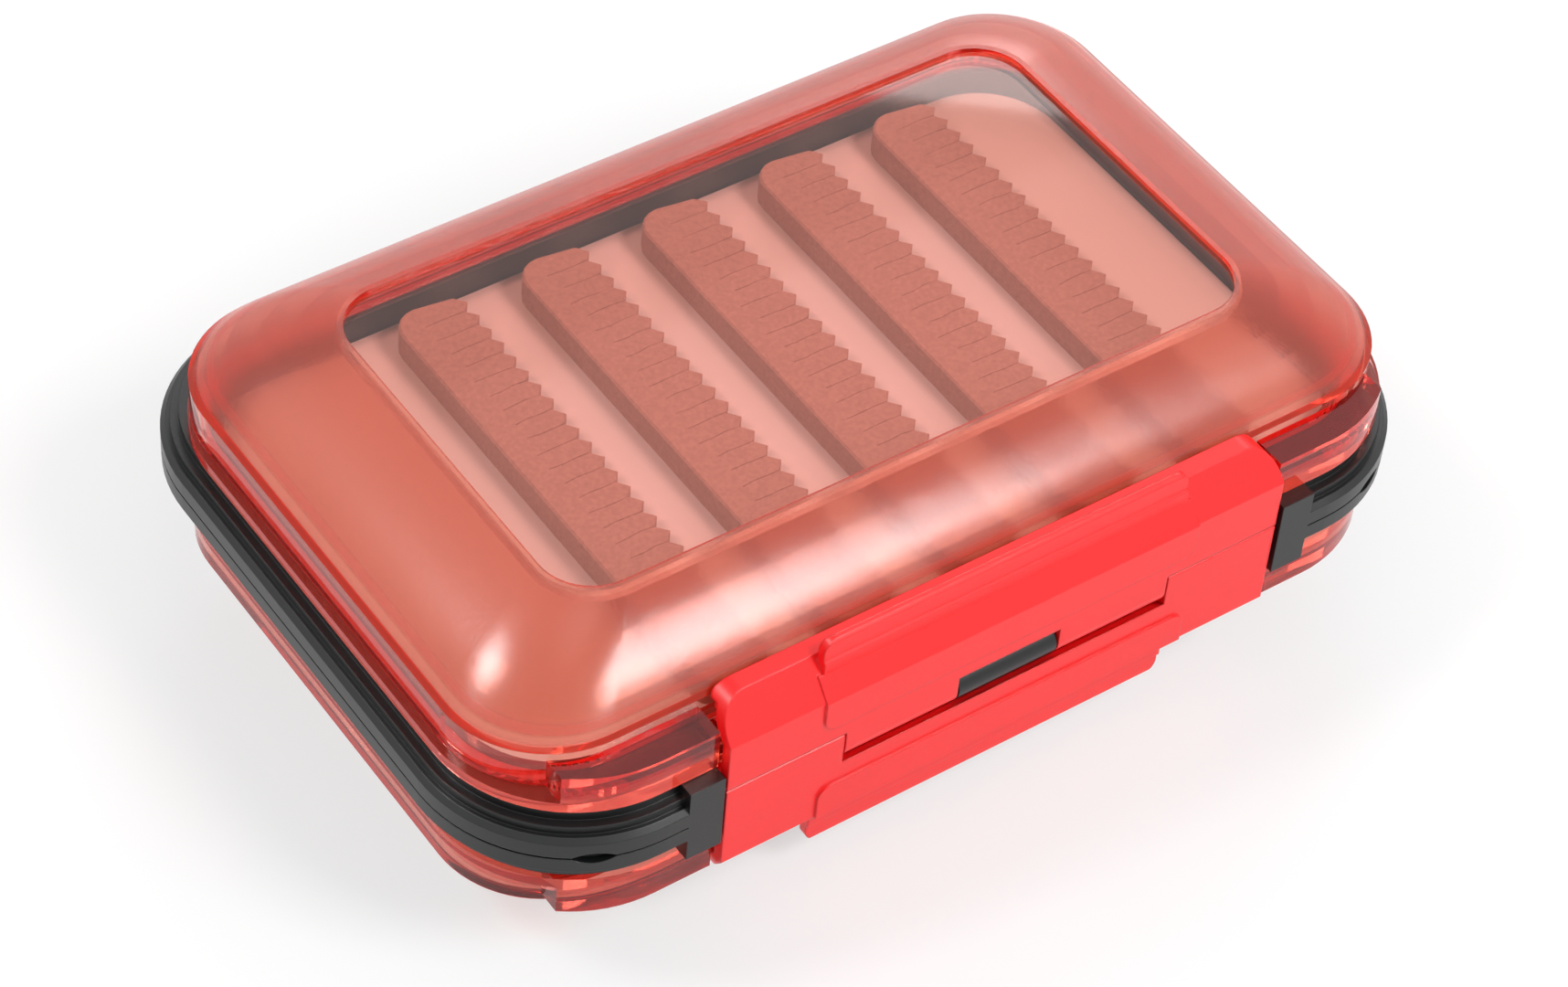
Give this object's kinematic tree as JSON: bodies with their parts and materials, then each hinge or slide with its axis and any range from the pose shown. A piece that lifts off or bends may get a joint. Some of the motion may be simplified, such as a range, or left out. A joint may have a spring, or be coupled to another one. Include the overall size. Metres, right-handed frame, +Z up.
{
  "type": "lure box",
  "caption": "Flat two-sided waterproof lure box with domed see-through lids on a mid frame, foam strips inside and hinged latches on one shared pin.",
  "frame": {"origin": "centre of the footprint, on the surface the box stands on", "axes": "+X along the box's length to the right, +Y to the hinges at the back, +Z up; latches face -Y"},
  "size_m": [0.15, 0.1036, 0.0476],
  "materials": {
    "frame_plastic": "satin black moulded plastic",
    "lid_plastic": "translucent red, frosted sides and clear window",
    "latch_plastic": "semi-gloss red moulded plastic",
    "foam": "soft closed-cell foam",
    "floor_sheet": "plain pale sheet",
    "seal_rubber": "soft deep red rubber",
    "pin_steel": "plain drawn steel"
  },
  "bodies": {
    "frame": {"frame": "frame_plastic", "top_floor_sheet": "floor_sheet", "bottom_floor_sheet": "floor_sheet", "top_foam_strip_1": "foam", "top_foam_strip_2": "foam", "top_foam_strip_3": "foam", "top_foam_strip_4": "foam", "top_foam_strip_5": "foam", "bottom_foam_strip_1": "foam", "bottom_foam_strip_2": "foam", "bottom_foam_strip_3": "foam", "bottom_foam_strip_4": "foam", "bottom_foam_strip_5": "foam", "latch_pin": "pin_steel", "top_hinge_pin": "pin_steel", "bottom_hinge_pin": "pin_steel"},
    "top_lid": {"top_lid": "lid_plastic", "top_seal": "seal_rubber"},
    "bottom_lid": {"bottom_lid": "lid_plastic", "bottom_seal": "seal_rubber"},
    "upper_latch": {"upper_latch": "latch_plastic"},
    "lower_latch": {"lower_latch": "latch_plastic"}
  },
  "joints": [
    {"name": "top_lid_hinge", "type": "hinge", "parent": "frame", "child": "top_lid", "pos_m": [0, 0.0472, 0.0303], "axis": [-1, 0, 0], "range_deg": [0, 120]},
    {"name": "bottom_lid_hinge", "type": "hinge", "parent": "frame", "child": "bottom_lid", "pos_m": [0, 0.0472, 0.0173], "axis": [1, 0, 0], "range_deg": [0, 120]},
    {"name": "upper_latch_hinge", "type": "hinge", "parent": "frame", "child": "upper_latch", "pos_m": [0, -0.049, 0.0238], "axis": [1, 0, 0], "range_deg": [0, 40]},
    {"name": "lower_latch_hinge", "type": "hinge", "parent": "frame", "child": "lower_latch", "pos_m": [0, -0.049, 0.0238], "axis": [-1, 0, 0], "range_deg": [0, 40]}
  ]
}
